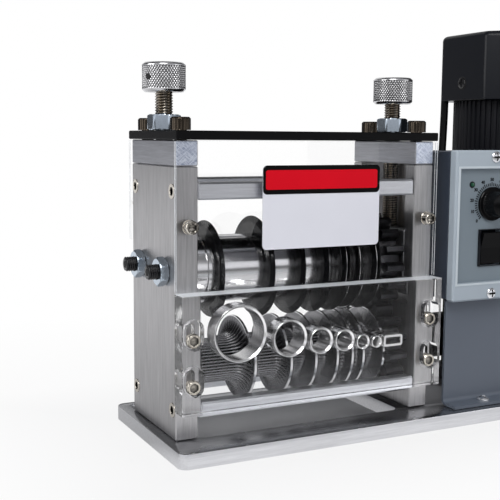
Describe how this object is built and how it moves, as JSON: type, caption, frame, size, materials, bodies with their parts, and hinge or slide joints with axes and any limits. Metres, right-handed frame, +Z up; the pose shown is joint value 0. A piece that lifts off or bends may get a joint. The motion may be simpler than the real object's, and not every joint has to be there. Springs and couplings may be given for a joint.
{
  "type": "wire stripping machine",
  "caption": "Bench wire stripping machine: disc blades over a grooved feed roller between end plates, guide tubes in a clear feed plate, screw height adjusters and a motor drive.",
  "frame": {"origin": "centre of the bounding box on the underside of the base plate, where the machine stands on its bench", "axes": "+X along the rollers towards the motor, +Y from the feeding side to the back, +Z up"},
  "size_m": [0.362, 0.123, 0.279],
  "materials": {
    "polished_aluminium": "polished",
    "brushed_aluminium": "brushed",
    "black_metal": "satin",
    "clear_acrylic": "clear",
    "housing_paint": "satin",
    "bezel_paint": "satin",
    "black_plastic": "satin",
    "dark_casting": "painted",
    "screw_steel": "oiled",
    "zinc_steel": "zinc plated",
    "polished_steel": "polished",
    "blade_steel": "ground",
    "dark_steel": "machined",
    "satin_steel": "satin"
  },
  "bodies": {
    "frame": {"base_plate": "polished_aluminium", "left_end_plate": "brushed_aluminium", "right_end_plate": "brushed_aluminium", "left_cap_block": "brushed_aluminium", "right_cap_block": "brushed_aluminium", "top_plate": "black_metal", "upper_front_tie_bar": "brushed_aluminium", "upper_rear_tie_bar": "brushed_aluminium", "lower_front_tie_bar": "brushed_aluminium", "lower_rear_tie_bar": "brushed_aluminium", "front_guard": "clear_acrylic", "rear_guard": "clear_acrylic", "motor_housing": "housing_paint", "control_case": "housing_paint", "control_bezel": "bezel_paint", "gearbox": "dark_casting", "motor_body": "dark_casting", "fan_cover": "black_plastic", "motor_lead": "black_plastic", "cap_screw_1": "screw_steel", "cap_screw_2": "screw_steel", "cap_screw_3": "screw_steel", "cap_screw_4": "screw_steel", "left_lock_nut": "zinc_steel", "right_lock_nut": "zinc_steel", "side_set_screw_1": "screw_steel", "side_set_screw_2": "screw_steel"},
    "drive_roller": {"drive_shaft": "polished_steel", "feed_roller": "dark_steel", "drive_gear": "dark_steel", "coupling": "black_metal"},
    "blade_carriage": {"left_bearing_block": "brushed_aluminium", "right_bearing_block": "brushed_aluminium"},
    "blade_roller": {"blade_shaft": "polished_steel", "blade_1": "blade_steel", "blade_2": "blade_steel", "blade_3": "blade_steel", "blade_4": "blade_steel", "blade_5": "blade_steel", "blade_6": "blade_steel", "blade_7": "blade_steel", "blade_spacer_1": "polished_steel", "blade_spacer_2": "polished_steel", "blade_spacer_3": "polished_steel", "blade_spacer_4": "polished_steel", "blade_spacer_5": "polished_steel", "blade_spacer_6": "polished_steel", "blade_gear": "dark_steel"},
    "left_adjuster": {"left_adjuster": "screw_steel"},
    "right_adjuster": {"right_adjuster": "screw_steel"},
    "feed_plate_set": {"feed_plate": "clear_acrylic", "guide_tube_1": "satin_steel", "guide_tube_2": "satin_steel", "guide_tube_3": "satin_steel", "guide_tube_4": "satin_steel", "guide_tube_5": "satin_steel", "guide_tube_6": "satin_steel", "guide_tube_7": "satin_steel"},
    "speed_dial": {"speed_dial": "black_plastic"},
    "power_switch": {"power_switch": "black_plastic"}
  },
  "joints": [
    {"name": "drive_spin", "type": "hinge", "parent": "frame", "child": "drive_roller", "pos_m": [0, 0.003, 0.0515], "axis": [1, 0, 0], "continuous": true},
    {"name": "blade_height", "type": "slide", "parent": "frame", "child": "blade_carriage", "axis": [0, 0, 1], "range_m": [-0.0015, 0.003]},
    {"name": "blade_spin", "type": "hinge", "parent": "blade_carriage", "child": "blade_roller", "pos_m": [0, 0.003, 0.1135], "axis": [1, 0, 0], "continuous": true},
    {"name": "left_adjuster_turn", "type": "hinge", "parent": "blade_carriage", "child": "left_adjuster", "pos_m": [-0.161, 0.003, 0.2], "axis": [0, 0, 1], "range_deg": [-308.6, 617.2]},
    {"name": "right_adjuster_turn", "type": "hinge", "parent": "blade_carriage", "child": "right_adjuster", "pos_m": [0.016, 0.003, 0.2], "axis": [0, 0, 1], "range_deg": [-308.6, 617.2]},
    {"name": "feed_plate_height", "type": "slide", "parent": "frame", "child": "feed_plate_set", "axis": [0, 0, 1], "range_m": [-0.007, 0]},
    {"name": "speed_dial_turn", "type": "hinge", "parent": "frame", "child": "speed_dial", "pos_m": [0.0669, -0.048, 0.155], "axis": [0, 1, 0], "range_deg": [-150, 150]},
    {"name": "power_rocker", "type": "hinge", "parent": "frame", "child": "power_switch", "pos_m": [0.067, -0.048, 0.1238], "axis": [1, 0, 0], "range_deg": [-14, 0]}
  ],
  "couplings": [
    {"joint": "blade_spin", "follows": "drive_spin", "ratio": -1},
    {"joint": "left_adjuster_turn", "follows": "blade_height", "rad_per_m": 3590.4},
    {"joint": "right_adjuster_turn", "follows": "blade_height", "rad_per_m": 3590.4}
  ]
}
